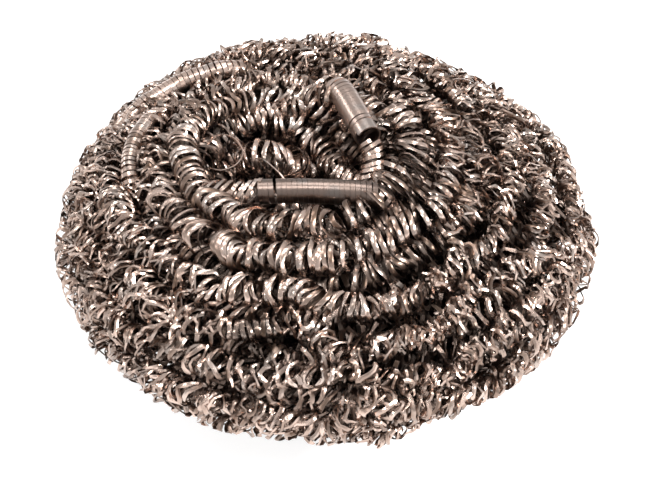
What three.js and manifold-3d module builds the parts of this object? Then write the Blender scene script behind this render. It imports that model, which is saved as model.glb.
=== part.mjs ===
// Stainless steel scourer: one flat steel ribbon, coiled like a spring into a long strand, and that
// strand wound round and round into a flattened ball with a hollow in its top. The strand starts in
// the hollow, spirals over the rim, down the side and in under the ball, and both of its close-wound
// ends lie across the hollow.
//
// Millimetres, +Z up. The origin is the middle of the underside, on the bench.

import * as THREE from "three";
import { mergeVertices } from "three/addons/utils/BufferGeometryUtils.js";
import Module from "manifold-3d";

// Driving dimensions: the ball
const BODY_WIDTH = 100; // across the widest row
const RIM_HEIGHT = 40; // from the bench to the rim of the hollow
const WIDEST_HEIGHT = 20; // from the bench to the widest row
const FOOT_WIDTH = 42; // across the rows that lie on the bench
const BENCH_FLAT = 0.6; // how far those rows are pressed flat by the bench

// Driving dimensions: the hollow in the top, which sits off the ball's middle
const HOLLOW_WIDTH = 40; // across the crest of its rim
const HOLLOW_DEPTH = 13;
const HOLLOW_SHIFT_X = -7;
const HOLLOW_SHIFT_Y = 2.7;
const FLOOR_FLATNESS = 1; // the larger these shares of its half width, the flatter its floor and rim
const RIM_FLATNESS = 0.55; // and the steeper the wall between them

// Driving dimensions: the coiled strand
const STRAND_WIDTH = 6.8; // outside of the coil, and so the spacing of the rows
const STRAND_START = 137; // degrees round from +X, seen from above, where the strand leaves the hollow's middle
const TURN_PITCH = 4.3; // from one turn of the coil to the next, along the strand
const ROW_GROOVE = 4; // depth of the groove between two rows
const TURN_NOTCH = 2.4; // depth of the gap between two turns
const TURN_LEAN = 2.2; // how far a turn leans along the strand from one side of its row to the other
const ROW_WANDER = 1; // how far a hand-wound row rises and sinks

// Driving dimensions: the two ends of the strand
const END_WIDTH = 4.7; // outside of the close-wound coil
const END_WALL = 0.4; // under the deepest line between its turns
const RIBBON_PITCH = 1.5; // close-wound turns lie a ribbon's width apart
const RIBBON_NOTCH = 0.22; // depth of the line between two close-wound turns
const END_SINK = 1.5; // how far the ends lie below the rim
const FRONT_END_SETBACK = 11.8; // the front end spans the hollow, this far in front of its middle
const FRONT_END_TURN = -2; // degrees from +X, seen from above
const FRONT_END_OPEN = 12; // length at its left that is drawn out into open turns
const OPEN_PITCH = 3; // from one open turn to the next
const OPEN_NOTCH = 1; // depth of the gap between two open turns
const BACK_END_LENGTH = 17.5; // the back end starts on the rim and lies loose in the hollow
const BACK_END_START = 64; // degrees round the rim from +X, seen from above
const BACK_END_TURN = -69; // the way it points from there

// Facets
const END_SIDES = 10;
const RINGS_PER_TURN = 2;
const INNER_SHOULDER = 0.28; // share of the way across a row
const OUTER_SHOULDER = 0.72;

const TURN = 2 * Math.PI;
const HALF_WIDTH = BODY_WIDTH / 2;
const RIM_RADIUS = HOLLOW_WIDTH / 2;
const FOOT_RADIUS = FOOT_WIDTH / 2;

const wasm = await Module();
wasm.setup();

// Section of the ball from the middle of the hollow to the middle of the underside, as (radius, height):
// an S from the hollow's floor to its rim, an elliptical shoulder and belly, and the flat underside.
function ballSection() {
  const floor = RIM_HEIGHT - HOLLOW_DEPTH;
  const rimAngle = Math.acos(RIM_RADIUS / HALF_WIDTH);
  const footAngle = Math.acos(FOOT_RADIUS / HALF_WIDTH);
  const shoulder = (RIM_HEIGHT - WIDEST_HEIGHT) / Math.sin(rimAngle);
  const belly = (WIDEST_HEIGHT + BENCH_FLAT) / Math.sin(footAngle);
  const section = new THREE.Path();
  section.moveTo(0, floor);
  const floorEdge = RIM_RADIUS * FLOOR_FLATNESS;
  const rimEdge = RIM_RADIUS * (1 - RIM_FLATNESS);
  section.bezierCurveTo(floorEdge, floor, rimEdge, RIM_HEIGHT, RIM_RADIUS, RIM_HEIGHT);
  section.absellipse(0, WIDEST_HEIGHT, HALF_WIDTH, shoulder, rimAngle, 0, true);
  section.absellipse(0, WIDEST_HEIGHT, HALF_WIDTH, belly, 0, -footAngle, true);
  section.lineTo(0, -BENCH_FLAT);
  return section;
}

const section = ballSection();
const SECTION_LENGTH = section.getLength();
const LAST_ANGLE = (TURN * SECTION_LENGTH) / STRAND_WIDTH;

// How far along the section the groove on the inner side of the strand lies, after winding by an angle.
function grooveReach(angle) {
  return THREE.MathUtils.clamp((STRAND_WIDTH * angle) / TURN, 0, SECTION_LENGTH);
}

// A point of the ball's skin, at a reach along its section and an angle round it, lifted off the skin.
function skinPoint(reach, angle, lift) {
  const share = THREE.MathUtils.clamp(reach / SECTION_LENGTH, 0, 1);
  const at = section.getPoint(share);
  const along = section.getTangent(share);
  const radius = Math.max(at.x - along.y * lift, 0);
  const height = at.y + along.x * lift;
  const shift = 1 - THREE.MathUtils.smoothstep(at.x, RIM_RADIUS, HALF_WIDTH);
  const above = at.y > WIDEST_HEIGHT ? shift : 0;
  const round = angle + THREE.MathUtils.degToRad(STRAND_START);
  return new THREE.Vector3(
    HOLLOW_SHIFT_X * above + radius * Math.cos(round),
    HOLLOW_SHIFT_Y * above + radius * Math.sin(round),
    height,
  );
}

// The unevenness of hand-wound rows, from -1 to 0 so that no row stands outside the ball.
function wander(angle) {
  return (Math.sin(1.37 * angle) + Math.sin(2.61 * angle + 1)) / 4 - 0.5;
}

// Fills the strip between two runs of vertices that advance round the ball together. Runs that share a
// pole give triangles with no area, which are left out.
function stitch(inner, outer, triangles) {
  let i = 0;
  let j = 0;
  const add = (...corners) => {
    if (new Set(corners).size === corners.length) triangles.push(...corners);
  };
  while (i + 1 < inner.length || j + 1 < outer.length) {
    const innerNext = inner[i + 1]?.angle ?? Infinity;
    const outerNext = outer[j + 1]?.angle ?? Infinity;
    if (innerNext <= outerNext) {
      add(inner[i].id, outer[j].id, inner[i + 1].id);
      i += 1;
    } else {
      add(inner[i].id, outer[j].id, outer[j + 1].id);
      j += 1;
    }
  }
}

// The wound strand: the groove on its inner side, then the two shoulders of its crest, ring by ring
// along the spiral. Every second ring is a turn of the coil, and the rings between are the gaps. The
// groove of the next row closes the outer side.
function woundStrand() {
  const vertices = [];
  const triangles = [];
  const vertex = (point) => vertices.push(point) - 1;
  const topPole = vertex(skinPoint(0, 0, 0));
  const bottomPole = vertex(skinPoint(SECTION_LENGTH, 0, 0));
  const grooves = [{ angle: -TURN, id: topPole }];
  const innerShoulders = [{ angle: -TURN, id: topPole }];
  const outerShoulders = [{ angle: -TURN, id: topPole }];
  const ringStep = TURN_PITCH / RINGS_PER_TURN;
  let angle = -TURN;
  for (let ring = 1; ; ring++) {
    const reach = (grooveReach(angle) + grooveReach(angle + TURN)) / 2;
    const radius = Math.max(section.getPoint(reach / SECTION_LENGTH).x, STRAND_WIDTH / 4);
    angle += ringStep / radius;
    if (angle >= LAST_ANGLE) break;
    const inner = grooveReach(angle);
    const width = grooveReach(angle + TURN) - inner;
    const fullness = width / STRAND_WIDTH;
    const notch = ring % RINGS_PER_TURN === 0 ? 0 : TURN_NOTCH;
    const lift = fullness * (ROW_WANDER * wander(angle) - notch);
    const across = (share, height) => {
      const leaning = angle + (TURN_LEAN * (share - 0.5)) / radius;
      return vertex(skinPoint(inner + width * share, leaning, height));
    };
    grooves.push({ angle, id: inner === 0 ? topPole : across(0, -fullness * ROW_GROOVE) });
    innerShoulders.push({ angle, id: across(INNER_SHOULDER, lift) });
    outerShoulders.push({ angle, id: across(OUTER_SHOULDER, lift) });
  }
  const end = { angle: LAST_ANGLE, id: bottomPole };
  [grooves, innerShoulders, outerShoulders].forEach((run) => run.push(end));
  const nextRow = [
    { angle: -TURN, id: topPole },
    ...grooves.filter(({ angle }) => angle > 0).map(({ angle, id }) => ({ angle: angle - TURN, id })),
    end,
  ];
  stitch(grooves, innerShoulders, triangles);
  stitch(innerShoulders, outerShoulders, triangles);
  stitch(outerShoulders, nextRow, triangles);
  return new THREE.BufferGeometry().setFromPoints(vertices).setIndex(triangles);
}

// An end of the strand, where the coil is still close-wound: a straight tube along +X with a fine line
// between its turns, which may start with a length of open turns.
function closeWoundEnd(length, openLength = 0) {
  const crest = END_WIDTH / 2;
  const outline = [new THREE.Vector2(crest - RIBBON_NOTCH, 0)];
  const addTurns = (start, end, wantedPitch, notch) => {
    const turns = Math.round((end - start) / wantedPitch);
    const pitch = (end - start) / turns;
    for (let turn = 0; turn < turns; turn++) {
      outline.push(new THREE.Vector2(crest, start + (turn + 0.5) * pitch));
      outline.push(new THREE.Vector2(crest - notch, start + (turn + 1) * pitch));
    }
  };
  addTurns(0, openLength, OPEN_PITCH, OPEN_NOTCH);
  addTurns(openLength, length, RIBBON_PITCH, RIBBON_NOTCH);
  const bore = crest - (openLength > 0 ? OPEN_NOTCH : RIBBON_NOTCH) - END_WALL;
  const inside = [new THREE.Vector2(bore, length), new THREE.Vector2(bore, 0)];
  return new THREE.LatheGeometry([inside[1], ...outline, ...inside], END_SIDES).rotateZ(-Math.PI / 2);
}

// Lays an end in the hollow, pointing one way as seen from above, from a start given from the hollow's
// middle.
function layInHollow(geometry, pointing, start) {
  return geometry
    .rotateZ(pointing)
    .translate(HOLLOW_SHIFT_X + start.x, HOLLOW_SHIFT_Y + start.y, RIM_HEIGHT - END_SINK);
}

// The front end lies across the hollow from rim to rim, with its open turns at the left.
function frontEnd() {
  const halfSpan = Math.sqrt(RIM_RADIUS ** 2 - FRONT_END_SETBACK ** 2);
  const pointing = THREE.MathUtils.degToRad(FRONT_END_TURN);
  const start = new THREE.Vector2(-halfSpan, -FRONT_END_SETBACK).rotateAround(new THREE.Vector2(), pointing);
  return layInHollow(closeWoundEnd(2 * halfSpan, FRONT_END_OPEN), pointing, start);
}

// The back end comes off the rim, and its open cut end lies in the hollow.
function backEnd() {
  const start = new THREE.Vector2(RIM_RADIUS, 0);
  start.rotateAround(new THREE.Vector2(), THREE.MathUtils.degToRad(BACK_END_START));
  return layInHollow(closeWoundEnd(BACK_END_LENGTH), THREE.MathUtils.degToRad(BACK_END_TURN), start);
}

function toSolid(geometry) {
  const bare = geometry.clone();
  bare.deleteAttribute("normal");
  bare.deleteAttribute("uv");
  const merged = mergeVertices(bare);
  return new wasm.Manifold(
    new wasm.Mesh({
      numProp: 3,
      vertProperties: merged.getAttribute("position").array,
      triVerts: new Uint32Array(merged.index.array),
    }),
  );
}

function toGeometry(solid) {
  const mesh = solid.getMesh();
  const geometry = new THREE.BufferGeometry();
  geometry.setAttribute("position", new THREE.BufferAttribute(mesh.vertProperties, mesh.numProp));
  geometry.setIndex(new THREE.BufferAttribute(mesh.triVerts, 1));
  geometry.computeVertexNormals();
  return geometry;
}

function scourerGeometry() {
  const bench = new THREE.BoxGeometry(2 * BODY_WIDTH, 2 * BODY_WIDTH, BODY_WIDTH)
    .translate(0, 0, -BODY_WIDTH / 2);
  const solid = toSolid(woundStrand())
    .add(toSolid(frontEnd()))
    .add(toSolid(backEnd()))
    .subtract(toSolid(bench));
  const geometry = toGeometry(solid);
  geometry.computeBoundingBox();
  const middle = geometry.boundingBox.getCenter(new THREE.Vector3());
  return geometry.translate(-middle.x, -middle.y, 0);
}

const steel = new THREE.MeshStandardMaterial({ color: 0xa08f85, roughness: 0.32, metalness: 1 });
const woundCoil = new THREE.Mesh(scourerGeometry(), steel);
woundCoil.name = "wound_coil";

const scourer = new THREE.Group();
scourer.add(woundCoil);

export default scourer;
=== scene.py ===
"""Wound steel scourer: a flat steel ribbon coiled like a spring, and the coil wound into a low ball.

Laid out as a Blender add-on: the property groups hold the sizes and finishes, each operator winds one
group of rows or lays one group of ends, and main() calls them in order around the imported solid.
"""

import math
from dataclasses import dataclass

import bmesh
import bpy
import numpy as np
from bpy.props import (
    FloatProperty,
    FloatVectorProperty,
    IntProperty,
    PointerProperty,
)
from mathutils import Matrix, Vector


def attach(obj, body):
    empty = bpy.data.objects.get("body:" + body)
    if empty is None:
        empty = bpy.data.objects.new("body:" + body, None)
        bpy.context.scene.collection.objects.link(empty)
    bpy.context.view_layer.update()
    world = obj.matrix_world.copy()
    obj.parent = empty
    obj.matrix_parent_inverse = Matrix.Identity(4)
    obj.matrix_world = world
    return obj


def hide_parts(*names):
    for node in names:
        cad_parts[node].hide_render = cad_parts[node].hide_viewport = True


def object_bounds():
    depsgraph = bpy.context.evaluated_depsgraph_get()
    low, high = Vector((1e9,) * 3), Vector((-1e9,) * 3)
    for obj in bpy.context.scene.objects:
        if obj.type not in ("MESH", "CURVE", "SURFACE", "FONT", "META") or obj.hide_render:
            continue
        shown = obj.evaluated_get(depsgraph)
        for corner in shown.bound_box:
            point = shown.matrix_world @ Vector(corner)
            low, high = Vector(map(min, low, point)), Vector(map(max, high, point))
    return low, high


bl_info = {
    "name": "Wound Steel Scourer",
    "version": (1, 0, 0),
    "blender": (4, 5, 0),
    "location": "View3D > Sidebar > Scourer",
    "description": "Winds a flat steel ribbon into a scourer and sets its stage",
    "category": "Add Mesh",
}

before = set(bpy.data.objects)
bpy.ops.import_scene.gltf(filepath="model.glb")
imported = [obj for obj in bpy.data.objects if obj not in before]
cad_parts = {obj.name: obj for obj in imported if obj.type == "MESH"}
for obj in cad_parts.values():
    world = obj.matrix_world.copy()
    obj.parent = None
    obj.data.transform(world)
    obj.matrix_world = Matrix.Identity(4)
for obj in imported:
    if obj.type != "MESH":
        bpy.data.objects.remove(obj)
CAD_LOW, CAD_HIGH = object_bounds()

BODY = "root"
NODE = "wound_coil"
BAKE_MAP = "OFBake"
BAKE_ROW_MARGIN = 0.04
TURN = 2 * math.pi
UP = np.array((0.0, 0.0, 1.0))
MM_PER_METRE = 1000
WHITE = (1, 1, 1, 1)

# How finely lines are worked out.
SPAN_POINTS = 24
SECTION_POINTS = 60
ROW_STEP = 0.003
PLACE_SPACING = 0.0002
FEWEST_PLACES = 40
END_SEGMENTS = 24

# The gap between the turns and the bench, and the room in which loops that stand out are pressed back.
BENCH_CLEARANCE = 0.0003
SIDE_ROOM = 0.0012
TOP_ROOM = 0.0008

# Rows lie in order up to the first of these distances from the calm place, and are tangled past the second.
CALM_REACH = (0.021, 0.031)

# Where rows stay close-wound: the middle of each stretch, its length, and how closely it is wound.
CLOSE_STRETCHES_MM = (
    ((-27, 2, 38), 20, 0.5),
    ((-34, 10, 33), 13, 0.95),
    ((24, 22, 36), 5, 1.0),
    ((-13, -36.5, 31.5), 9, 0.85),
)
# To either side of its middle, a stretch is close out to its length over the first and open from its length
# over the second.
CLOSE_OVER = 2.4
OPEN_OVER = 1.7
# Where the coil is drawn out into wider loops: the middle of each place and its reach.
DRAWN_PLACES_MM = (((-30, -31, 22), 20),)
# Where the turns are small and fine: the middle of each place and its reach.
FINE_PLACES_MM = (
    ((-44, 0, 24), 36),
    ((-20, 40, 24), 36),
    ((41, 4, 24), 32),
)
# The middle of a patch at the front whose colour is darkened, a painted shade.
SHADED_PATCH_MM = (-12.5, -37.6, 30.8)

# Corners of the ribbon's section, as shares of its half width and half thickness.
ROLLED_SECTION = ((-1, 0), (0, 1), (1, 0), (0, -1))
PLAIN_SECTION = ((-1, 1), (1, 1), (1, -1), (-1, -1))


class ScourerBall(bpy.types.PropertyGroup):
    """The flattened ball that the strand is wound into, and the hollow in its top."""

    half_width: FloatProperty(
        name="Half width",
        description="From the middle of the ball to its outermost turns",
        default=(CAD_HIGH.x - CAD_LOW.x) / 2,
        unit="LENGTH",
    )
    rim_height: FloatProperty(
        name="Rim height",
        description="From the bench to the rim of the hollow",
        default=0.0395,
        unit="LENGTH",
    )
    widest_height: FloatProperty(
        name="Widest height", description="From the bench to the widest row", default=0.020, unit="LENGTH"
    )
    foot_radius: FloatProperty(
        name="Foot radius", description="Of the rows that lie on the bench", default=0.021, unit="LENGTH"
    )
    rim_radius: FloatProperty(
        name="Rim radius", description="Of the crest round the hollow", default=0.020, unit="LENGTH"
    )
    hollow_depth: FloatProperty(
        name="Hollow depth", description="From the rim to the hollow's floor", default=0.013, unit="LENGTH"
    )
    hollow_shift: FloatVectorProperty(
        name="Hollow shift",
        description="From the middle of the ball to the middle of the hollow",
        default=(-0.007, 0.0027, 0),
        size=3,
        unit="LENGTH",
    )
    row_sink: FloatProperty(
        name="Row sink",
        description="How deep a row may sink between its neighbours",
        default=0.0022,
        unit="LENGTH",
    )
    row_stray: FloatProperty(
        name="Row stray", description="How far a row may stray sideways", default=0.0032, unit="LENGTH"
    )
    calm_place: FloatVectorProperty(
        name="Calm place",
        description="Round which the rows lie in order; they are more tangled away from it",
        default=(-0.004, -0.006, 0.038),
        size=3,
        unit="LENGTH",
    )
    lobing: FloatProperty(
        name="Lobing", description="How far the ball is out of round", default=0.004, min=0, max=0.1
    )


class ScourerStrand(bpy.types.PropertyGroup):
    """The coiled strand and the ribbon that it is made of."""

    coil_width: FloatProperty(
        name="Coil width", description="Across the turns of the coil", default=0.0052, unit="LENGTH"
    )
    row_spacing: FloatProperty(
        name="Row spacing",
        description="From one row of the winding to the next",
        default=0.0068,
        unit="LENGTH",
    )
    ribbon_width: FloatProperty(
        name="Ribbon width", description="Of the flat ribbon", default=0.00088, unit="LENGTH"
    )
    ribbon_thickness: FloatProperty(
        name="Ribbon thickness", description="Of the flat ribbon", default=0.00028, unit="LENGTH"
    )
    thinning: FloatProperty(
        name="Thinning",
        description="How much narrower the ribbon is where it is tangled",
        default=0.10,
        min=0,
        max=0.9,
    )
    splay: FloatProperty(
        name="Splay",
        description="How much wider a coil is pulled where it is tangled",
        default=0.12,
        min=0,
        max=2,
    )
    crimp: FloatProperty(
        name="Crimp",
        description="How far a tangled ribbon wavers along its run",
        default=0.00058,
        unit="LENGTH",
    )
    open_pitch: FloatProperty(
        name="Open pitch",
        description="Between turns where the coil is drawn out",
        default=0.00145,
        unit="LENGTH",
    )
    close_pitch: FloatProperty(
        name="Close pitch",
        description="Between turns where the coil is close-wound",
        default=0.00098,
        unit="LENGTH",
    )
    unevenness: FloatProperty(
        name="Unevenness", description="How far the turns stray from an even coil", default=1.0, min=0, max=2
    )
    seed: IntProperty(name="Seed", description="Of every random draw", default=7)


class ScourerSteel(bpy.types.PropertyGroup):
    """The finish of the ribbon."""

    bright: FloatVectorProperty(
        name="Bright",
        description="Of the clean ribbon",
        default=(0.59, 0.450, 0.383),
        size=3,
        subtype="COLOR",
    )
    dull: FloatVectorProperty(
        name="Dull",
        description="Of the duller turns",
        default=(0.165, 0.108, 0.080),
        size=3,
        subtype="COLOR",
    )
    end_bright: FloatVectorProperty(
        name="End bright",
        description="Of the close-wound ends",
        default=(0.23, 0.175, 0.15),
        size=3,
        subtype="COLOR",
    )
    end_dull: FloatVectorProperty(
        name="End dull",
        description="Of their duller turns",
        default=(0.18, 0.13, 0.107),
        size=3,
        subtype="COLOR",
    )


class ScourerStage(bpy.types.PropertyGroup):
    """The floor, the light and the camera."""

    floor_colour: FloatVectorProperty(
        name="Floor colour",
        description="Of the floor, which its glow lifts to white",
        default=(0.40, 0.40, 0.40),
        size=3,
        subtype="COLOR",
    )
    floor_glow: FloatProperty(
        name="Floor glow", description="Of the lit table under the ball", default=0.8, min=0
    )
    elevation: FloatProperty(
        name="Elevation",
        description="Of the camera above the bench",
        default=math.radians(44.2),
        subtype="ANGLE",
    )
    distance: FloatProperty(
        name="Distance", description="From the camera to the ball", default=0.55, unit="LENGTH"
    )
    frame_width: FloatProperty(
        name="Frame width", description="What the picture spans at the ball", default=0.1163, unit="LENGTH"
    )
    aim: FloatVectorProperty(
        name="Aim",
        description="The point the camera looks at",
        default=(-0.0007, 0, 0.0175),
        size=3,
        unit="LENGTH",
    )


@dataclass
class Layer:
    """A layer of the winding: the pieces it is cut into, the depth of its rows' middle where they lie in
    order and where they are tangled, and its coil as multiples of the strand's."""

    names: tuple
    inset: float
    tangled_inset: float
    width: float
    tangled_width: float
    pitch: float
    segments: int
    section: tuple
    seed: int
    start: float = 0.003
    row_offset: float = 0.12
    stray: float = 1.0
    close_stretches: tuple = ()


def core_layer(number, inset, tangled_inset):
    """Coarser rows deep inside, which show only through the gaps."""
    return Layer(
        names=(f"core_rows_{number}",),
        inset=inset,
        tangled_inset=tangled_inset,
        width=1.2,
        tangled_width=1.2,
        pitch=1.5,
        segments=9,
        section=PLAIN_SECTION,
        seed=1 + number,
    )


OUTER_LAYER = Layer(
    names=("rim_rows", "shoulder_rows", "belly_rows", "foot_rows"),
    inset=0.0016,
    tangled_inset=0.0015,
    width=1.0,
    tangled_width=0.60,
    pitch=1.0,
    segments=18,
    section=ROLLED_SECTION,
    seed=0,
    start=0.0205,
    close_stretches=CLOSE_STRETCHES_MM,
)
INNER_LAYERS = (
    Layer(
        names=("under_rows_1", "under_rows_2", "under_rows_3"),
        inset=0.0050,
        tangled_inset=0.0022,
        width=1.1,
        tangled_width=0.60,
        pitch=1.0,
        segments=18,
        section=ROLLED_SECTION,
        seed=1,
        row_offset=0.62,
        stray=0.4,
    ),
    core_layer(1, inset=0.0105, tangled_inset=0.0075),
    core_layer(2, inset=0.0150, tangled_inset=0.0130),
)


@dataclass
class Route:
    """The line that a strand's middle follows, the way out of the ball along it, how deep it lies and how
    tangled it is."""

    points: np.ndarray
    out: np.ndarray
    depth: np.ndarray
    tangle: np.ndarray

    def __post_init__(self):
        self.reach = lengths_along(self.points)
        self.along = unit(np.gradient(self.points, axis=0))

    def places(self):
        length = self.reach[-1]
        return np.linspace(0, length, max(FEWEST_PLACES, int(length / PLACE_SPACING)))

    def nearness(self, places, centre_mm, reach_mm):
        """1 where the route is near a place, easing to 0 at some reach from it."""
        points = blend_rows(places, self.reach, self.points)
        away = np.linalg.norm(points - metres(centre_mm), axis=1)
        return 1 - smoothstep(metres(reach_mm / 2), metres(reach_mm), away)

    def window_at(self, places, centre_mm, length_mm, height):
        """This height on the stretch of this length that passes nearest to a place, easing to 0 past it."""
        away = np.linalg.norm(self.points - metres(centre_mm), axis=1)
        from_centre = np.abs(places - self.reach[away.argmin()])
        close_to = length_mm / (CLOSE_OVER * MM_PER_METRE)
        open_from = length_mm / (OPEN_OVER * MM_PER_METRE)
        return height * (1 - smoothstep(close_to, open_from, from_centre))

    def frames(self, at):
        """Points on the route at these lengths, with the ways along it, out of the ball and to the side."""
        points = blend_rows(at, self.reach, self.points)
        along = unit(blend_rows(at, self.reach, self.along))
        out = blend_rows(at, self.reach, self.out)
        out = unit(out - along * (out * along).sum(1, keepdims=True))
        return points, along, out, np.cross(along, out)


@dataclass
class Winding:
    """How a ribbon coils at places along a route: the coil's width and pitch, its turns' disorder, how far
    they all lean along it, and the ribbon's width."""

    places: np.ndarray
    width: np.ndarray
    pitch: np.ndarray
    disorder: np.ndarray
    lean: np.ndarray
    ribbon: np.ndarray


@dataclass
class Coil:
    """Points round a coil, one for each facet, with the ribbon's way out, its twist, depth and width."""

    points: np.ndarray
    out: np.ndarray
    twist: np.ndarray
    depth: np.ndarray
    width: np.ndarray

    def stretch(self, first, last):
        rows = slice(first, last + 1)
        return Coil(self.points[rows], self.out[rows], self.twist[rows], self.depth[rows], self.width[rows])


def metres(millimetres):
    return np.asarray(millimetres, float) / MM_PER_METRE


def unit(rows):
    return rows / np.maximum(np.linalg.norm(rows, axis=1, keepdims=True), 1e-12)


def lengths_along(points):
    steps = np.linalg.norm(np.diff(points, axis=0), axis=1)
    return np.concatenate(([0.0], np.cumsum(steps)))


def blend_rows(at, places, rows):
    return np.stack([np.interp(at, places, column) for column in rows.T], axis=1)


def smoothstep(low, high, value):
    share = np.clip((value - low) / (high - low), 0, 1)
    return share * share * (3 - 2 * share)


def drift(rng, at, every):
    """A smooth random line read at these places: a new value between -1 and 1 every so often."""
    step = (at - at[0]) / every + rng.uniform()
    low = step.astype(int)
    knots = rng.uniform(-1, 1, low[-1] + 2)
    share = smoothstep(0, 1, step - low)
    return knots[low] * (1 - share) + knots[low + 1] * share


def drifts(rng, at, *waves):
    """Smooth random lines added up, each with its height and the length after which it takes a new value."""
    return sum(height * drift(rng, at, every) for height, every in waves)


def smooth_line(points):
    """A smooth line through given points."""
    points = np.array(points, float)
    padded = np.vstack((2 * points[0] - points[1], points, 2 * points[-1] - points[-2]))
    share = np.linspace(0, 1, SPAN_POINTS, endpoint=False)[:, None]
    spans = [
        b
        + share * (c - a) / 2
        + share**2 * (a - 2.5 * b + 2 * c - d / 2)
        + share**3 * (1.5 * b - a / 2 - 1.5 * c + d / 2)
        for a, b, c, d in zip(padded, padded[1:], padded[2:], padded[3:])
    ]
    return np.vstack((*spans, points[-1:]))


# How far out the hollow's wall bends over into its rim, as a share of the rim's radius.
WALL_BEND = 0.45
LOBES = 3


def ball_section(ball, inset):
    """(radius, height) along the ball's section, drawn inside its outermost turns: an S from the
    hollow's floor to its rim, an elliptical shoulder and belly, and the flat underside."""
    half = ball.half_width - inset
    rim, foot = ball.rim_radius, ball.foot_radius
    top = ball.rim_height - inset
    floor = top - ball.hollow_depth
    share = np.linspace(0, 1, SECTION_POINTS)[:, None]
    ends = [np.array(p) for p in ((0, floor), (rim, floor), (rim * WALL_BEND, top), (rim, top))]
    weights = ((1 - share) ** 3, 3 * share * (1 - share) ** 2, 3 * share**2 * (1 - share), share**3)
    hollow = sum(w * p for w, p in zip(weights, ends))
    middle = np.array((0, ball.widest_height))

    def arc(start, end, rise):
        angle = start + (end - start) * share[1:]
        return middle + np.hstack((half * np.cos(angle), rise * np.sin(angle)))

    rim_angle = math.acos(rim / half)
    foot_angle = math.acos(foot / half)
    shoulder = arc(rim_angle, 0, (top - ball.widest_height) / math.sin(rim_angle))
    belly = arc(0, -foot_angle, (ball.widest_height - inset) / math.sin(foot_angle))
    underside = np.hstack((foot * (1 - share[1:]), np.full_like(share[1:], inset)))
    return np.vstack((hollow, shoulder, belly, underside))


# How rows wander: waves with their heights and their lengths in metres, and the shares of a tangled row's
# sinking and straying that a row in order keeps.
SINK_WAVES = ((1.0, 0.016), (0.5, 0.007))
STRAY_WAVES = ((1.0, 0.013), (0.5, 0.006))
DEEPEST_SINK = sum(height for height, every in SINK_WAVES)
ORDERLY_SINK = 0.5
ORDERLY_STRAY = 0.15
# The share of a row's sinking that counts as depth in the tangle, for its painted shade, and the rows left
# off at the very bottom.
SUNK_DEPTH = 0.4
ROWS_LEFT_OFF = 0.9


def wound_route(ball, strand, layer, rng):
    """The spiral of rows from the hollow, over the rim and the side, to the middle of the underside."""
    section = ball_section(ball, layer.inset)
    reach = lengths_along(ball_section(ball, OUTER_LAYER.inset))
    slope = unit(np.gradient(section, axis=0))
    first = layer.start / strand.row_spacing
    last = reach[-1] / strand.row_spacing - ROWS_LEFT_OFF
    row = np.arange(first, last, ROW_STEP)
    at = strand.row_spacing * (row + layer.row_offset)
    radius, height = blend_rows(at, reach, section).T
    slope_out, slope_up = unit(blend_rows(at, reach, slope)).T
    angle = TURN * row
    way = np.column_stack((np.cos(angle), np.sin(angle), np.zeros_like(angle)))
    lobed = radius * (1 + ball.lobing * (np.cos(LOBES * angle) - 1))
    shift = (1 - smoothstep(ball.rim_radius, ball.half_width, radius)) * (height > ball.widest_height)
    points = lobed[:, None] * way + height[:, None] * UP + shift[:, None] * np.array(ball.hollow_shift)
    out = slope_out[:, None] * UP - slope_up[:, None] * way
    down = slope_out[:, None] * way + slope_up[:, None] * UP

    from_calm = np.linalg.norm(points - np.array(ball.calm_place), axis=1)
    tangle = smoothstep(*CALM_REACH, from_calm)
    run = np.concatenate(([0.0], np.cumsum(radius[1:] * np.diff(angle))))
    wander = (drifts(rng, run, *SINK_WAVES) - DEEPEST_SINK) / (2 * DEEPEST_SINK)
    sink = (ORDERLY_SINK + tangle) * ball.row_sink * wander
    inset = layer.inset + (layer.tangled_inset - layer.inset) * tangle
    lift = sink + layer.inset - inset
    stray = (ORDERLY_STRAY + (1 - ORDERLY_STRAY) * tangle) * layer.stray * ball.row_stray
    stray = stray * drifts(rng, run, *STRAY_WAVES)
    points = points + out * lift[:, None] + down * stray[:, None]
    return Route(points, out, inset - OUTER_LAYER.inset - SUNK_DEPTH * sink, tangle)


def laid_route(points_mm, depth=0.0):
    """A route through given points, in millimetres, with its way out upward."""
    points = metres(smooth_line(points_mm))
    count = len(points)
    return Route(points, np.tile(UP, (count, 1)), np.full(count, depth), np.zeros(count))


def eased(values, limit, room):
    """Values that near a limit smoothly, over the last bit of room below it, and never pass it."""
    soft = limit - room
    return np.where(values > soft, soft + room * np.tanh((values - soft) / room), values)


def pressed(points, radius_limit, height_limit):
    """Presses loops that stand out of the ball back inside this radius and height."""
    radius = np.linalg.norm(points[:, :2], axis=1)
    factor = eased(radius, radius_limit, SIDE_ROOM) / np.maximum(radius, 1e-9)
    height = eased(points[:, 2], height_limit, TOP_ROOM)
    return np.column_stack((points[:, :2] * factor[:, None], height))


# How the turns of a coil stray: waves with their heights and lengths. Along the pitch the lengths are in
# metres, and everywhere else they are in turns.
PITCH_WAVES = ((0.45, 0.012), (0.42, 0.003))
SWELL_WAVES = ((0.12, 9), (0.12, 1.3), (0.07, 0.4))
SLOW_LEAN = 0.28
QUICK_LEAN = 0.24
TANGLED_LEAN = 0.14
SWAY_OUT = 0.13
SWAY_SIDE = 0.15
KINK = 0.08
SLOW_TWISTS = ((0.55, 1.3), (0.35, 0.55))
QUICK_TWIST = 0.25
TANGLED_TWIST = 0.4
# Single turns that are pulled out of the coil: how often, past which height of the wave, and how far.
PULL_EVERY = 1.1
PULL_PAST = 0.55
PULL = 0.7
# The short crimps of the ribbon: their length in turns, the share that is left where the rows lie in order,
# and their shares along the strand, outward and sideways.
CRIMP_EVERY = 0.13
ORDERLY_CRIMP = 0.4
CRIMP_SHARES = (1.0, 0.7, 0.7)
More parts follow.
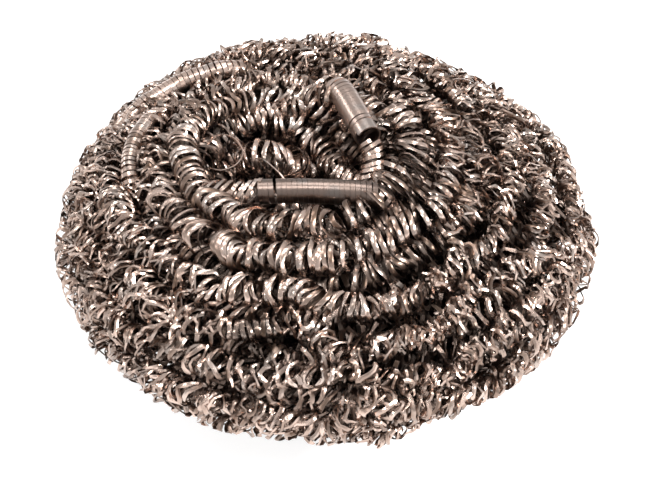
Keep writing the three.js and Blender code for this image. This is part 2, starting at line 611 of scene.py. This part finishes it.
# How far out a loop may stand and the room in which it nears that, as shares of the coil's width.
LOOP_LIMIT = 0.62
LOOP_ROOM = 0.25


def uneven_pitch(rng, places):
    """Factors that draw some turns together and others apart."""
    return np.exp(drifts(rng, places, *PITCH_WAVES))


def coil_along(strand, route, winding, rng, segments):
    """Coils a ribbon round a route, facet by facet."""
    turns = np.concatenate(([0.0], np.cumsum(np.diff(winding.places) / winding.pitch[1:])))
    turn = np.arange(int(turns[-1] * segments)) / segments
    at = np.interp(turn, turns, winding.places)
    width, loose, lean, ribbon = (
        np.interp(at, winding.places, values)
        for values in (winding.width, winding.disorder, winding.lean, winding.ribbon)
    )
    tangle, depth = (np.interp(at, route.reach, values) for values in (route.tangle, route.depth))
    middle, along, out, side = route.frames(at)
    angle = TURN * turn
    across, up = np.sin(angle), np.cos(angle)

    swell = drifts(rng, turn, *SWELL_WAVES)
    pulled = np.clip(drift(rng, turn, PULL_EVERY) - PULL_PAST, 0, None) * np.clip(up, 0, None)
    radius = width / 2 * (1 + loose * (swell + PULL * pulled))
    quick_lean = QUICK_LEAN + TANGLED_LEAN * tangle
    lean_out = lean + loose * drifts(rng, turn, (SLOW_LEAN, 4), (quick_lean, 1.2))
    lean_side = lean + loose * drifts(rng, turn, (SLOW_LEAN, 5), (quick_lean, 1.1))
    sway_out = loose * width * SWAY_OUT * (drift(rng, turn, 1.5) - 0.5)
    sway_side = loose * width * SWAY_SIDE * drift(rng, turn, 1.4)
    kink = loose * width * KINK * drift(rng, turn, 0.37)
    crimp = strand.crimp * (ORDERLY_CRIMP + (1 - ORDERLY_CRIMP) * tangle) * loose
    crimp_along, crimp_out, crimp_side = (
        crimp * share * drift(rng, turn, CRIMP_EVERY) for share in CRIMP_SHARES
    )
    quick_twist = QUICK_TWIST + TANGLED_TWIST * tangle
    twist = loose * drifts(rng, turn, *SLOW_TWISTS, (quick_twist, 0.16))

    lift = eased(radius * up + sway_out + crimp_out, LOOP_LIMIT * width, LOOP_ROOM * width)
    spread = 1 + strand.splay * tangle
    points = (
        middle
        + out * lift[:, None]
        + side * (radius * spread * across + sway_side + crimp_side)[:, None]
        + along * (radius * (lean_out * up + lean_side * across) + kink + crimp_along)[:, None]
    )
    points[:, 2] = np.maximum(points[:, 2], BENCH_CLEARANCE)
    away = out * up[:, None] + side * across[:, None]
    # The depth below each turn's crest goes to the finish, which paints shade with it.
    return Coil(points, away, twist, depth + radius * (1 - up), ribbon)


def ribbon_frames(coil):
    """The ways across the ribbon and out of its face, both square to its run."""
    run = unit(np.gradient(coil.points, axis=0))
    out = unit(coil.out - run * (coil.out * run).sum(1, keepdims=True))
    across = np.cross(run, out)
    turned, kept = np.sin(coil.twist)[:, None], np.cos(coil.twist)[:, None]
    return across * kept - out * turned, out * kept + across * turned


def fold_map(mesh, rings, rows):
    """Folds the long strip's map into rows, so that it fills a square."""
    layer = mesh.uv_layers[BAKE_MAP].uv
    places = np.empty(len(layer) * 2, np.float32)
    layer.foreach_get("vector", places)
    places = places.reshape(-1, 4, 2).astype(float)
    per_row = math.ceil((rings - 1) / rows)
    ring = places[:, :, 0] * (rings - 1)
    row = np.floor(ring.mean(axis=1, keepdims=True) / per_row)
    places[:, :, 0] = (ring - row * per_row) / per_row
    places[:, :, 1] = (row + BAKE_ROW_MARGIN + (1 - 2 * BAKE_ROW_MARGIN) * places[:, :, 1]) / rows
    layer.foreach_set("vector", places.astype(np.float32).ravel())


def ribbon_piece(name, coil, section, strand, material):
    """A ribbon of this section along a coil: a long strip, rolled shut round its section and wound."""
    rings, sides = len(coil.points), len(section)
    bm = bmesh.new()
    bm.loops.layers.uv.new(BAKE_MAP)
    bmesh.ops.create_grid(bm, x_segments=rings - 1, y_segments=sides, size=0.5, calc_uvs=True)
    mesh = bpy.data.meshes.new(name)
    bm.to_mesh(mesh)
    bm.free()
    strip = np.empty(len(mesh.vertices) * 3, np.float32)
    mesh.vertices.foreach_get("co", strip)
    strip = strip.reshape(-1, 3)
    ring = np.rint((strip[:, 0] + 0.5) * (rings - 1)).astype(int)
    corner = np.rint((strip[:, 1] + 0.5) * sides).astype(int) % sides
    across, lift = np.array(section, float)[corner].T
    across_way, out_way = ribbon_frames(coil)
    points = (
        coil.points[ring]
        + across_way[ring] * (across * coil.width[ring] / 2)[:, None]
        + out_way[ring] * (lift * strand.ribbon_thickness / 2)[:, None]
    )
    points[:, 2] = np.maximum(points[:, 2], 0)
    mesh.vertices.foreach_set("co", points.astype(np.float32).ravel())
    run = lengths_along(coil.points)
    for label, values in (("run", run[ring]), ("across", across), ("depth", coil.depth[ring])):
        layer = mesh.attributes.new(label, "FLOAT", "POINT")
        layer.data.foreach_set("value", values.astype(np.float32))
    perimeter = 2 * (strand.ribbon_width + strand.ribbon_thickness)
    fold_map(mesh, rings, max(1, round(math.sqrt(run[-1] / perimeter))))
    close_ribbon(mesh)
    return place_piece(name, mesh, material)


WELD_DISTANCE = 1e-7
MOST_CAP_CORNERS = 8
SHARP_ANGLE = math.radians(38)


def close_ribbon(mesh):
    """Welds the strip's long edges, caps its ends and turns its faces out."""
    bm = bmesh.new()
    bm.from_mesh(mesh)
    bmesh.ops.remove_doubles(bm, verts=bm.verts, dist=WELD_DISTANCE)
    open_edges = [edge for edge in bm.edges if edge.is_boundary]
    bmesh.ops.holes_fill(bm, edges=open_edges, sides=MOST_CAP_CORNERS)
    bmesh.ops.recalc_face_normals(bm, faces=bm.faces)
    bm.to_mesh(mesh)
    bm.free()
    mesh.shade_smooth()
    mesh.set_sharp_from_angle(angle=SHARP_ANGLE)


def place_piece(name, mesh, material):
    piece = bpy.data.objects.new(name, mesh)
    bpy.context.scene.collection.objects.link(piece)
    mesh.materials.append(material)
    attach(piece, BODY)
    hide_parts(NODE)
    return piece


class NodeBench:
    """Adds nodes to a tree; a value given for a socket is either a constant or another node's socket."""

    def __init__(self, tree):
        self.tree = tree

    def add(self, kind, inputs=None, **settings):
        node = self.tree.nodes.new("ShaderNode" + kind)
        for name, value in settings.items():
            setattr(node, name, value)
        for name, value in (inputs or {}).items():
            if isinstance(value, bpy.types.NodeSocket):
                self.tree.links.new(value, node.inputs[name])
            else:
                node.inputs[name].default_value = value
        return node

    def reading(self, attribute):
        return self.add("Attribute", attribute_name=attribute).outputs["Fac"]

    def reckon(self, operation, *values):
        return self.add("Math", dict(enumerate(values)), operation=operation).outputs[0]

    def noise(self, dimensions, place, scale, detail):
        inputs = {"W" if dimensions == "1D" else "Vector": place, "Scale": scale, "Detail": detail}
        return self.add("TexNoise", inputs, noise_dimensions=dimensions).outputs["Fac"]

    def span(self, value, low, high, to_low=0.0, to_high=1.0):
        ends = {"Value": value, "From Min": low, "From Max": high, "To Min": to_low, "To Max": to_high}
        return self.add("MapRange", ends).outputs["Result"]

    def blend(self, factor, first, second, kind="MIX"):
        """Blends two colours, which the Mix node takes at its inputs 6 and 7 and gives at its output 2."""
        inputs = {0: factor, 6: first, 7: second}
        return self.add("Mix", inputs, data_type="RGBA", blend_type=kind).outputs[2]


# The drawn finish: the scales of its lines, for each metre and each half width, and of its tones.
LINES_ALONG = 90
LINES_ACROSS = 7
TONE_SCALE = 110
CLOUD_SCALE = 210
TINT_SCALE = 260
LINE_HEIGHT = 0.00004
LINE_STRENGTH = 0.25
ROUGHENING = 0.10
# The spans of the noises over which turns go dull, and over which they take the cooler tint.
DULL_SPAN = (0.84, 1.20)
COOL_SPAN = (0.50, 0.68)
COOL_TINT = (0.90, 1.0, 1.06, 1)
# The part of the half width that is rubbed along the ribbon's edges, and how bright.
EDGE_SPAN = (0.7, 1.0)
EDGE_RUB = 0.35
# Distances from the ball's axis over which the belly's turns are lightened in colour, a painted light, and
# how bright.
BELLY_SPAN = (0.038, 0.048)
BELLY_LIGHT = 0.15
# Painted shade: depths in the tangle over which the ribbon's colour darkens, and how far, inside the belly
# and on it.
DEPTH_SPAN = (0.0008, 0.0046)
DARKEST_INSIDE = 0.64
DARKEST_BELLY = 0.57
TANGLE_SHADE = (0.009, 0.005, 0.003, 1)
# How far the patch of painted shade reaches and how dark its middle is.
PATCH_SPAN = (0.0030, 0.0065)
PATCH_DARKEST = 0.65
PATCH_SHADE = (0.02, 0.013, 0.009, 1)


def ribbon_finish():
    """The drawn face of the ribbon: lines along its run, a tone that changes from turn to turn, edges worn
    bright, painted light on the belly's turns, painted shade that darkens the ribbon with its depth inside
    the tangle, and a patch of painted shade at the front."""
    group = bpy.data.node_groups.get("ribbon_finish")
    if group:
        return group
    group = bpy.data.node_groups.new("ribbon_finish", "ShaderNodeTree")
    for way, kind, names in (
        ("INPUT", "NodeSocketColor", ("Bright", "Dull")),
        ("INPUT", "NodeSocketFloat", ("Dullness", "Least Roughness")),
        ("OUTPUT", "NodeSocketColor", ("Color",)),
        ("OUTPUT", "NodeSocketFloat", ("Roughness", "Height")),
    ):
        for name in names:
            group.interface.new_socket(name, in_out=way, socket_type=kind)
    bench = NodeBench(group)
    given = group.nodes.new("NodeGroupInput").outputs
    run, across, depth = (bench.reading(name) for name in ("run", "across", "depth"))
    place = bench.add("TexCoord").outputs["Object"]

    line_run = bench.reckon("MULTIPLY", run, LINES_ALONG)
    line_across = bench.reckon("MULTIPLY", across, LINES_ACROSS)
    line_place = bench.add("CombineXYZ", {"X": line_run, "Y": line_across}).outputs[0]
    lines = bench.noise("2D", line_place, 1, 3)
    tone = bench.noise("1D", run, TONE_SCALE, 2)
    cloud = bench.noise("3D", place, CLOUD_SCALE, 2)
    tint = bench.noise("3D", place, TINT_SCALE, 1)

    dull = bench.span(bench.reckon("ADD", tone, cloud), *DULL_SPAN)
    dull = bench.reckon("MULTIPLY", dull, given["Dullness"])
    colour = bench.blend(dull, given["Bright"], given["Dull"])
    cool = bench.blend(bench.span(tint, *COOL_SPAN), WHITE, COOL_TINT)
    colour = bench.blend(1.0, colour, cool, "MULTIPLY")
    edge = bench.span(bench.reckon("ABSOLUTE", across), *EDGE_SPAN, 0.0, EDGE_RUB)
    colour = bench.blend(edge, colour, given["Bright"])

    from_axis = bench.add("VectorMath", {0: place, 1: (1, 1, 0)}, operation="MULTIPLY").outputs["Vector"]
    from_axis = bench.add("VectorMath", {0: from_axis}, operation="LENGTH").outputs["Value"]
    # Painted light: the colour of the turns out on the belly is lightened towards the bright steel.
    belly_light = bench.span(from_axis, *BELLY_SPAN, 0.0, BELLY_LIGHT)
    colour = bench.blend(belly_light, colour, given["Bright"])
    # Painted shade: the colour darkens with the depth below the crests, a little less on the belly.
    darkest = bench.span(from_axis, *BELLY_SPAN, DARKEST_INSIDE, DARKEST_BELLY)
    shade = bench.reckon("MULTIPLY", bench.span(depth, *DEPTH_SPAN), darkest)
    colour = bench.blend(shade, colour, TANGLE_SHADE)
    # Painted shade: the patch at the front is darkened in colour.
    patch_place = tuple(metres(SHADED_PATCH_MM))
    away = bench.add("VectorMath", {0: place, 1: patch_place}, operation="DISTANCE").outputs["Value"]
    colour = bench.blend(bench.span(away, *PATCH_SPAN, PATCH_DARKEST, 0.0), colour, PATCH_SHADE)

    made = group.nodes.new("NodeGroupOutput").inputs
    rough = bench.reckon("MULTIPLY_ADD", dull, ROUGHENING, given["Least Roughness"])
    rough = bench.reckon("MULTIPLY_ADD", lines, ROUGHENING, rough)
    for socket, value in (("Color", colour), ("Roughness", rough), ("Height", lines)):
        group.links.new(value, made[socket])
    return group


@dataclass
class Finish:
    """One steel: which of the named colours its bright and dull turns take, how much brighter than the first
    it is, a painted light and shade for parts lit differently, how far its dull turns go, and its least
    roughness."""

    bright: str
    gain: float
    dull: str
    dullness: float
    roughness: float = 0.17


# Copies of one steel whose gains paint light and shade: the back end, the hollow's lengths and the crossing
# length lighter, the front end darker.
STEELS = {
    "row_steel": Finish("bright", 1.0, "dull", 1.0),
    "hollow_steel": Finish("bright", 1.05, "dull", 0.6),
    "crossing_steel": Finish("bright", 1.05, "dull", 0.55, 0.20),
    "front_end_steel": Finish("end_bright", 0.8, "end_dull", 0.4, 0.24),
    "back_end_steel": Finish("end_bright", 1.9, "end_bright", 0.4, 0.24),
}


def ribbon_steel(context, name):
    """The steel of this name, with the drawn finish."""
    material = bpy.data.materials.get(name)
    if material:
        return material
    steel = STEELS[name]
    colours = context.scene.scourer_steel
    # The gain paints light and shade into the bright colour.
    bright = [steel.gain * part for part in getattr(colours, steel.bright)]
    material = bpy.data.materials.new(name)
    material.use_nodes = True
    bench = NodeBench(material.node_tree)
    shader = material.node_tree.nodes["Principled BSDF"]
    shader.inputs["Metallic"].default_value = 1
    values = {
        "Bright": (*bright, 1),
        "Dull": (*getattr(colours, steel.dull), 1),
        "Dullness": steel.dullness,
        "Least Roughness": steel.roughness,
    }
    finish = bench.add("Group", values, node_tree=ribbon_finish())
    drawn_lines = {"Strength": LINE_STRENGTH, "Distance": LINE_HEIGHT, "Height": finish.outputs["Height"]}
    bump = bench.add("Bump", drawn_lines)
    for socket, value in (
        ("Base Color", finish.outputs["Color"]),
        ("Roughness", finish.outputs["Roughness"]),
        ("Normal", bump.outputs["Normal"]),
    ):
        material.node_tree.links.new(value, shader.inputs[socket])
    return material


@dataclass
class Length:
    """A length of the strand that is laid through given points: the points it passes, its coil's width, its
    feel, its seed and steel, the ribbon's width as a share of the strand's, the ribbon's section, and how
    deep it lies. Feel gives the pitch, as a multiple of the close pitch, the disorder of the turns and their
    lean, at shares of the length."""

    name: str
    points_mm: tuple
    width: float
    feel: tuple
    seed: int
    steel: str
    ribbon_share: float = 1.0
    section: tuple = PLAIN_SECTION
    depth: float = 0.0


def lay_length(context, length):
    """Coils a ribbon along given points."""
    strand = context.scene.scourer_strand
    rng = np.random.default_rng(strand.seed + length.seed)
    route = laid_route(length.points_mm, length.depth)
    places = route.places()
    shares, *feelings = zip(*length.feel)
    pitch, disorder, lean = (np.interp(places / places[-1], shares, feeling) for feeling in feelings)
    pitch = strand.close_pitch * pitch * uneven_pitch(rng, places) ** disorder
    width = np.full_like(places, length.width)
    ribbon = np.full_like(places, strand.ribbon_width * length.ribbon_share)
    winding = Winding(places, width, pitch, disorder, lean, ribbon)
    coil = coil_along(strand, route, winding, rng, END_SEGMENTS)
    return ribbon_piece(length.name, coil, length.section, strand, ribbon_steel(context, length.steel))


# A loose ribbon's width, as a share of the strand's ribbon, and its twist from end to end.
LOOSE_SHARE = 0.40
LOOSE_TWIST = (0.3, 1.0)


def lay_ribbon(context, name, points_mm):
    """Lays a loose ribbon on edge through given points."""
    route = laid_route(points_mm)
    strand = context.scene.scourer_strand
    count = len(route.points)
    width = np.full(count, LOOSE_SHARE * strand.ribbon_width)
    coil = Coil(route.points, route.out, np.linspace(*LOOSE_TWIST, count), route.depth, width)
    return ribbon_piece(name, coil, ROLLED_SECTION, strand, ribbon_steel(context, "hollow_steel"))


# How a layer's coil changes with its place: the disorder of its turns in order, where it is tangled and along
# its run, and how much of it a close-wound stretch loses.
ORDERLY_DISORDER = 1.1
TANGLED_DISORDER = 0.35
DISORDER_WAVE = (0.25, 0.03)
CLOSE_CALM = 0.9
# How much closer the turns lie where they are tangled and where they are fine, and how much narrower the
# ribbon of the fine ones is.
TANGLED_CLOSENESS = 0.08
FINE_CLOSENESS = 0.24
FINE_THINNING = 0.2
# How the tangled coil's width wavers, how much wider it is where it is drawn out, and how open turns lean.
WIDTH_WAVE = (0.12, 0.02)
DRAWN_SPREAD = 0.15
OPEN_LEAN = -0.35


def wind_layer(context, layer):
    """Winds one layer of rows and cuts it into its pieces."""
    ball, strand = context.scene.scourer_ball, context.scene.scourer_strand
    rng = np.random.default_rng(strand.seed + layer.seed)
    route = wound_route(ball, strand, layer, rng)
    places = route.places()
    tangle = np.interp(places, route.reach, route.tangle)
    windows = (route.window_at(places, *stretch) for stretch in layer.close_stretches)
    close = sum(windows, np.zeros_like(places))
    drawn = sum(route.nearness(places, *place) for place in DRAWN_PLACES_MM)
    fine = np.clip(sum(route.nearness(places, *place) for place in FINE_PLACES_MM), 0, 1)
    disorder = ORDERLY_DISORDER + TANGLED_DISORDER * tangle + drifts(rng, places, DISORDER_WAVE)
    disorder = strand.unevenness * disorder * (1 - CLOSE_CALM * close)
    closeness = 1 - TANGLED_CLOSENESS * tangle - FINE_CLOSENESS * fine
    open_pitch = strand.open_pitch * layer.pitch * closeness * uneven_pitch(rng, places)
    pitch = open_pitch * (1 - close) + strand.close_pitch * close
    tangled_width = layer.tangled_width * (1 + drifts(rng, places, WIDTH_WAVE)) + DRAWN_SPREAD * drawn
    width = strand.coil_width * (layer.width + (tangled_width - layer.width) * tangle)
    ribbon = strand.ribbon_width * (1 - strand.thinning * tangle) * (1 - FINE_THINNING * fine)
    winding = Winding(places, width, pitch, disorder, OPEN_LEAN * (1 - close), ribbon)
    coil = coil_along(strand, route, winding, rng, layer.segments)
    margin = strand.ribbon_width / 2
    coil.points = pressed(coil.points, ball.half_width - margin, CAD_HIGH.z - margin)
    cuts = np.linspace(0, len(coil.points) - 1, len(layer.names) + 1).astype(int)
    steel = ribbon_steel(context, "row_steel")
    for name, first, last in zip(layer.names, cuts, cuts[1:]):
        ribbon_piece(name, coil.stretch(first, last), layer.section, strand, steel)


class SCOURER_OT_wind_rows(bpy.types.Operator):
    """Winds the outer rows of the ball, from the hollow to the underside"""

    bl_idname = "scourer.wind_rows"
    bl_label = "Wind outer rows"

    def execute(self, context):
        wind_layer(context, OUTER_LAYER)
        return {"FINISHED"}


class SCOURER_OT_wind_inner_rows(bpy.types.Operator):
    """Winds the rows inside the ball that show between the outer turns"""

    bl_idname = "scourer.wind_inner_rows"
    bl_label = "Wind inner rows"

    def execute(self, context):
        for layer in INNER_LAYERS:
            wind_layer(context, layer)
        return {"FINISHED"}


# The pitch of the ends' tight turns, and of the few turns near each end that are drawn apart.
TIGHT = 0.92
APART = 1.9
# How a close-wound length that crosses the rows comes out of them and goes back in.
CROSSING_FEEL = (
    (0, 1.4, 0.5, 0),
    (0.2, 1.0, 0.2, 0),
    (0.8, 1.0, 0.2, 0),
    (1, 1.4, 0.5, 0),
)
CLOSE_LENGTHS = (
    Length(
        name="front_end",
        points_mm=(
            (11.4, -9.8, 31.0),
            (10.2, -9.6, 35.0),
            (7.8, -9.2, 37.5),
            (-2.5, -9.0, 38.2),
            (-12.2, -8.9, 38.0),
        ),
        width=0.0041,
        feel=(
            (0, 1.5, 0.4, 0),
            (0.2, 1.05, 0.1, 0),
            (0.28, TIGHT, 0, 0),
            (0.875, TIGHT, 0, 0),
            (0.88, APART, 0, 0),
            (0.91, APART, 0, 0),
            (0.915, TIGHT, 0, 0),
            (1, TIGHT, 0, 0),
        ),
        seed=11,
        steel="front_end_steel",
        ribbon_share=0.99,
    ),
    Length(
        name="back_end",
        points_mm=((1.2, 20.2, 31.5), (1.8, 19.2, 35.2), (2.7, 17.4, 37.6), (7.3, 5.2, 38.0)),
        width=0.0045,
        feel=(
            (0, 1.5, 0.4, 0),
            (0.2, TIGHT, 0, 0),
            (0.83, TIGHT, 0, 0),
            (0.835, APART, 0, 0),
            (0.87, APART, 0, 0),
            (0.875, TIGHT, 0, 0),
            (1, TIGHT, 0, 0),
        ),
        seed=12,
        steel="back_end_steel",
        ribbon_share=0.99,
    ),
    # Where the front end is drawn out into open turns, at its left.
    Length(
        name="front_tail",
        points_mm=(
            (-12.2, -8.9, 38.0),
            (-16.0, -8.8, 37.6),
            (-20.5, -8.0, 36.8),
            (-23.0, -6.8, 35.2),
            (-24.5, -5.5, 32.5),
        ),
        width=0.0044,
        feel=((0, 1.2, 0.1, -0.3), (0.15, 1.4, 0.35, -0.75), (1, 1.5, 0.5, -0.8)),
        seed=14,
        steel="hollow_steel",
        ribbon_share=0.75,
    ),
    # The strand that goes down into the hollow below the back end's mouth.
    Length(
        name="back_tail",
        points_mm=(
            (7.5, 4.6, 37.2),
            (8.1, 2.4, 36.2),
            (7.9, -0.4, 34.4),
            (7.0, -3.2, 31.8),
            (6.2, -5.2, 28.5),
        ),
        width=0.0040,
        feel=((0, 1.2, 0.3, 0.2), (1, 1.4, 0.5, 0.3)),
        seed=16,
        steel="hollow_steel",
        ribbon_share=0.78,
    ),
    # Two that cross the rows, at the back and at the left.
    Length(
        name="shoulder_strand",
        points_mm=(
            (-39.5, 12.0, 24.0),
            (-37.8, 16.2, 28.2),
            (-33.6, 20.4, 31.2),
            (-26.8, 24.4, 33.4),
            (-20.0, 26.2, 35.0),
            (-15.5, 27.2, 34.0),
            (-12.0, 27.8, 30.5),
        ),
        width=0.0034,
        feel=CROSSING_FEEL,
        seed=13,
        steel="crossing_steel",
        ribbon_share=0.92,
    ),
    Length(
        name="left_strand",
        points_mm=(
            (-28.5, 18.5, 31.5),
            (-31.2, 14.5, 34.2),
            (-33.7, 9.0, 34.9),
            (-34.8, 4.0, 34.8),
            (-34.8, -0.5, 34.3),
            (-33.8, -4.5, 31.5),
        ),
        width=0.0028,
        feel=CROSSING_FEEL,
        seed=15,
        steel="row_steel",
        ribbon_share=0.84,
    ),
)
# The tangled strands in the floor of the hollow.
NEST_MM = (
    ((-3.5, 9.5, 22.0), (-4.6, 7.4, 28.5), (-7.0, 6.0, 32.0), (-11.5, 6.4, 32.0), (-16.0, 8.5, 28.5)),
    ((-22.0, 0.0, 27.0), (-15.0, 1.5, 27.5), (-8.0, 0.5, 26.0), (-1.0, 1.5, 26.5), (7.0, 4.0, 28.0)),
    ((8.0, 1.0, 29.0), (2.0, 6.0, 29.5), (-1.0, 12.0, 29.0), (-6.0, 15.5, 31.5), (-13.0, 15.5, 32.0)),
    ((-24.0, 6.0, 28.0), (-18.0, 10.0, 27.0), (-10.0, 11.0, 25.5), (-3.0, 10.0, 25.5), (5.0, 9.0, 27.0)),
    ((-18.0, 13.5, 30.0), (-12.5, 16.0, 33.0), (-7.0, 17.5, 34.5), (-2.0, 17.5, 34.0), (2.5, 15.5, 31.0)),
)
NEST_LENGTHS = tuple(
    Length(
        name=f"hollow_strand_{number}",
        points_mm=points,
        width=0.0052,
        feel=((0, 1.5, 1, 0), (1, 1.5, 1, 0)),
        seed=20 + number,
        steel="hollow_steel",
        section=ROLLED_SECTION,
        depth=0.0002,
    )
    for number, points in enumerate(NEST_MM, start=1)
)
# Loose lengths of ribbon that stand out of the tangle.
LOOSE_RIBBONS_MM = (
    (
        (-21.5, 2.0, 30.0),
        (-21.8, 4.5, 34.0),
        (-20.0, 8.5, 35.0),
        (-17.0, 9.0, 34.5),
        (-15.0, 5.5, 34.5),
        (-15.8, 1.5, 35.0),
        (-18.5, -0.3, 35.0),
        (-20.8, 1.5, 34.0),
        (-20.0, 5.0, 30.0),
    ),
    ((-14.5, 6.5, 31.0), (-12.0, 3.0, 34.8), (-9.8, 0.2, 35.6), (-7.5, -3.0, 35.4), (-6.0, -4.6, 33.0)),
)


class SCOURER_OT_lay_ends(bpy.types.Operator):
    """Lays the strand's two ends and their tails in the hollow, and two lengths across the rows"""

    bl_idname = "scourer.lay_ends"
    bl_label = "Lay close-wound lengths"

    def execute(self, context):
        for length in CLOSE_LENGTHS:
            lay_length(context, length)
        return {"FINISHED"}


class SCOURER_OT_fill_hollow(bpy.types.Operator):
    """Lays the tangled strands in the floor of the hollow, and the loose ribbons over them"""

    bl_idname = "scourer.fill_hollow"
    bl_label = "Fill hollow"

    def execute(self, context):
        for length in NEST_LENGTHS:
            lay_length(context, length)
        for number, points in enumerate(LOOSE_RIBBONS_MM, start=1):
            lay_ribbon(context, f"loose_ribbon_{number}", points)
        return {"FINISHED"}


# The studio's level, and the way in which it falls off to a dimmer one.
STUDIO_LEVEL = 0.84
DIM_LEVEL = 0.80
DIM_WAY = Vector((-0.4, 0.75, 0.55)).normalized()


def studio_world():
    """A nearly even studio, a little dimmer behind the ball and to its left."""
    world = bpy.data.worlds.new("studio")
    world.use_nodes = True
    tree = world.node_tree
    bench = NodeBench(tree)
    place = bench.add("TexCoord").outputs["Generated"]
    facing = bench.add("VectorMath", {0: place, 1: DIM_WAY}, operation="DOT_PRODUCT").outputs["Value"]
    level = bench.span(facing, 0.0, 0.8, STUDIO_LEVEL, DIM_LEVEL)
    tree.links.new(level, tree.nodes["Background"].inputs["Strength"])
    tree.nodes["Background"].inputs["Color"].default_value = WHITE
    return world


# Soft boxes round the ball: name, place in metres, width and power.
SOFT_BOXES = (
    ("key", (-0.9, 0.6, 0.55), 0.25, 1.9),
    ("top", (0.1, 0.5, 1.0), 0.4, 4.0),
    ("over", (-0.1, -0.15, 1.1), 0.3, 4.2),
    ("front_left", (-0.7, -0.6, 0.7), 0.2, 2.6),
    ("front_right", (0.9, -0.3, 0.7), 0.22, 26.0),
)
FLOOR_HALF_WIDTH = 3
FARTHEST_VIEW = 10


class SCOURER_OT_set_stage(bpy.types.Operator):
    """Sets the floor, the soft light and the camera"""

    bl_idname = "scourer.set_stage"
    bl_label = "Set stage"

    def execute(self, context):
        self.lay_floor(context)
        self.light(context)
        self.aim_camera(context)
        context.scene.view_settings.view_transform = "Standard"
        return {"FINISHED"}

    def lay_floor(self, context):
        stage = context.scene.scourer_stage
        bm = bmesh.new()
        bmesh.ops.create_grid(bm, x_segments=1, y_segments=1, size=FLOOR_HALF_WIDTH)
        mesh = bpy.data.meshes.new("floor")
        bm.to_mesh(mesh)
        bm.free()
        floor = bpy.data.objects.new("floor", mesh)
        context.scene.collection.objects.link(floor)
        material = bpy.data.materials.new("pale_floor")
        material.use_nodes = True
        shader = material.node_tree.nodes["Principled BSDF"]
        for socket, value in (
            ("Base Color", (*stage.floor_colour, 1)),
            ("Roughness", 0.9),
            ("Emission Color", WHITE),
            ("Emission Strength", stage.floor_glow),
        ):
            shader.inputs[socket].default_value = value
        mesh.materials.append(material)

    def light(self, context):
        context.scene.world = studio_world()
        for name, place, size, power in SOFT_BOXES:
            light = bpy.data.lights.new(name, "AREA")
            light.size = size
            light.energy = power
            lamp = bpy.data.objects.new(name, light)
            lamp.location = place
            lamp.rotation_euler = Vector(place).to_track_quat("Z", "Y").to_euler()
            context.scene.collection.objects.link(lamp)

    def aim_camera(self, context):
        stage = context.scene.scourer_stage
        camera_data = bpy.data.cameras.new("camera")
        camera = bpy.data.objects.new("camera", camera_data)
        context.scene.collection.objects.link(camera)
        way = Vector((0, -math.cos(stage.elevation), math.sin(stage.elevation)))
        camera.location = Vector(stage.aim) + way * stage.distance
        camera.rotation_euler = way.to_track_quat("Z", "Y").to_euler()
        camera_data.lens = camera_data.sensor_width * stage.distance / stage.frame_width
        camera_data.clip_end = FARTHEST_VIEW
        context.scene.camera = camera


class SCOURER_PT_sidebar(bpy.types.Panel):
    """Lists the steps of winding a scourer"""

    bl_idname = "SCOURER_PT_sidebar"
    bl_label = "Wound Steel Scourer"
    bl_space_type = "VIEW_3D"
    bl_region_type = "UI"
    bl_category = "Scourer"

    def draw(self, context):
        for step in STEPS:
            self.layout.operator(step.bl_idname)


GROUPS = {
    "scourer_ball": ScourerBall,
    "scourer_strand": ScourerStrand,
    "scourer_steel": ScourerSteel,
    "scourer_stage": ScourerStage,
}
STEPS = (
    SCOURER_OT_set_stage,
    SCOURER_OT_wind_rows,
    SCOURER_OT_wind_inner_rows,
    SCOURER_OT_fill_hollow,
    SCOURER_OT_lay_ends,
)
CLASSES = (*GROUPS.values(), *STEPS, SCOURER_PT_sidebar)


def register():
    for cls in CLASSES:
        bpy.utils.register_class(cls)
    for name, group in GROUPS.items():
        setattr(bpy.types.Scene, name, PointerProperty(type=group))


def unregister():
    for name in GROUPS:
        delattr(bpy.types.Scene, name)
    for cls in reversed(CLASSES):
        bpy.utils.unregister_class(cls)


def main():
    register()
    bpy.ops.scourer.set_stage()
    bpy.ops.scourer.wind_rows()
    bpy.ops.scourer.wind_inner_rows()
    bpy.ops.scourer.fill_hollow()
    bpy.ops.scourer.lay_ends()


if __name__ == "__main__":
    main()
